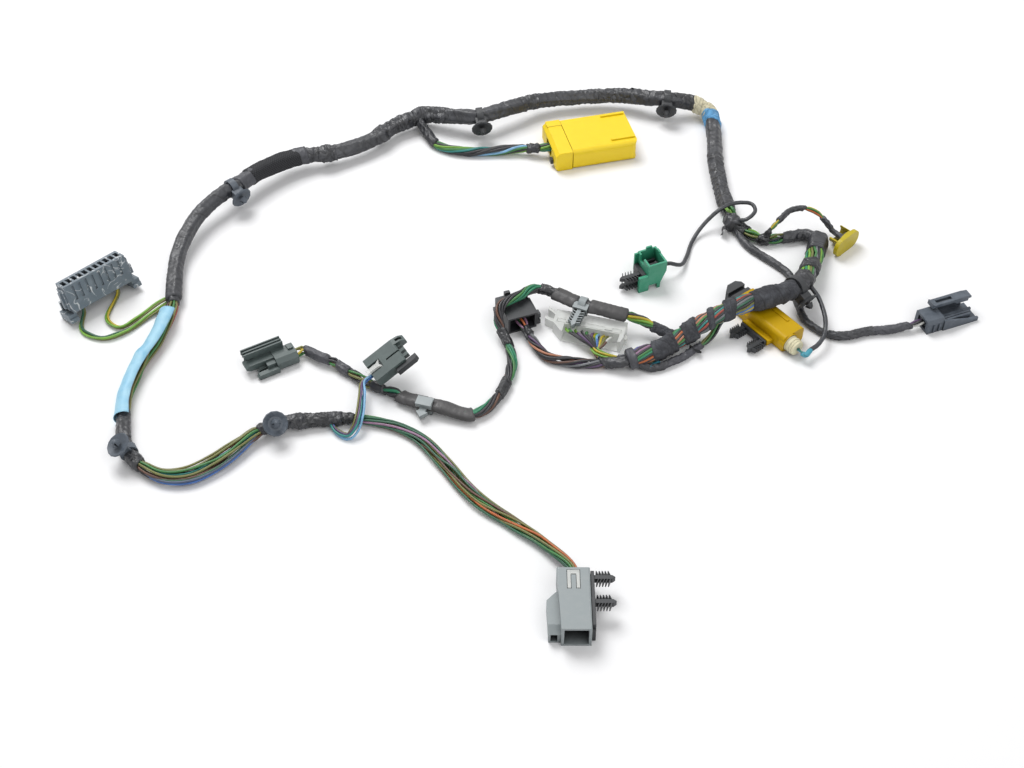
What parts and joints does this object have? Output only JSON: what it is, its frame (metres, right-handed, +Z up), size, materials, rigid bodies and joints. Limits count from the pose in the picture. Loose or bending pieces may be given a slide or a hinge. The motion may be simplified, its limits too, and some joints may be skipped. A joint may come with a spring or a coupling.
{
  "type": "vehicle wiring harness",
  "caption": "Vehicle wiring harness laid out flat: taped bundles of coloured wires branch to moulded plug connectors and carry push-in fixing clips.",
  "frame": {"origin": "middle of the layout, on the surface that it lies on", "axes": "+X to the right along the layout's longest extent, +Y to its far side, +Z up"},
  "size_m": [0.6116, 0.4943, 0.0292],
  "materials": {
    "harness_tape": "matte vinyl tape wound over wires",
    "wire_insulation": "satin",
    "cloth_tape": "woven",
    "paper_label": "matte film",
    "slate_plastic": "moulded, worn with pale scuffs",
    "grey_plastic": "moulded, satin",
    "green_grey_plastic": "moulded, satin",
    "black_plastic": "moulded, satin",
    "yellow_plastic": "moulded, semi gloss",
    "amber_plastic": "moulded, semi gloss",
    "green_plastic": "moulded, semi gloss",
    "clear_plastic": "translucent, natural",
    "cream_rubber": "soft, matte"
  },
  "bodies": {
    "root": {"trunk_left": "harness_tape", "trunk_back": "harness_tape", "trunk_right": "harness_tape", "label_bundle": "harness_tape", "rear_link": "harness_tape", "left_branch": "harness_tape", "black_branch": "harness_tape", "clear_branch": "harness_tape", "parallel_branch": "harness_tape", "right_branch": "harness_tape", "rear_branch": "harness_tape", "green_wire": "harness_tape", "sealed_wire": "harness_tape", "yellow_branch": "harness_tape", "front_branch": "wire_insulation", "panel_wires_a": "wire_insulation", "panel_wires_b": "wire_insulation", "tee_wires": "wire_insulation", "cloth_tape": "cloth_tape", "part_label": "paper_label", "panel_housing": "slate_plastic", "panel_slide_lock": "slate_plastic", "right_housing": "slate_plastic", "right_latch": "slate_plastic", "left_disc_clip": "slate_plastic", "back_disc_clip": "slate_plastic", "corner_disc_clip": "slate_plastic", "label_disc_clip": "slate_plastic", "front_disc_clip": "slate_plastic", "front_housing": "grey_plastic", "edge_clip": "grey_plastic", "grey_fir_clip": "grey_plastic", "tee_housing": "green_grey_plastic", "left_housing": "green_grey_plastic", "yellow_lock_tab": "black_plastic", "tee_finger": "black_plastic", "black_housing": "black_plastic", "black_latch": "black_plastic", "sealed_cap": "black_plastic", "sealed_clip_carrier": "black_plastic", "green_terminal_insert": "black_plastic", "green_clip_carrier": "black_plastic", "cover_insert": "black_plastic", "front_pin_block": "black_plastic", "front_clip_carrier": "black_plastic", "right_disc_clip": "black_plastic", "yellow_rear_cover": "yellow_plastic", "yellow_housing": "yellow_plastic", "cover_housing": "yellow_plastic", "sealed_housing": "amber_plastic", "green_housing": "green_plastic", "tee_lock": "clear_plastic", "clear_housing": "clear_plastic", "clear_lock_bar": "clear_plastic", "front_lock": "clear_plastic", "sealed_wire_seal": "cream_rubber"}
  },
  "joints": []
}
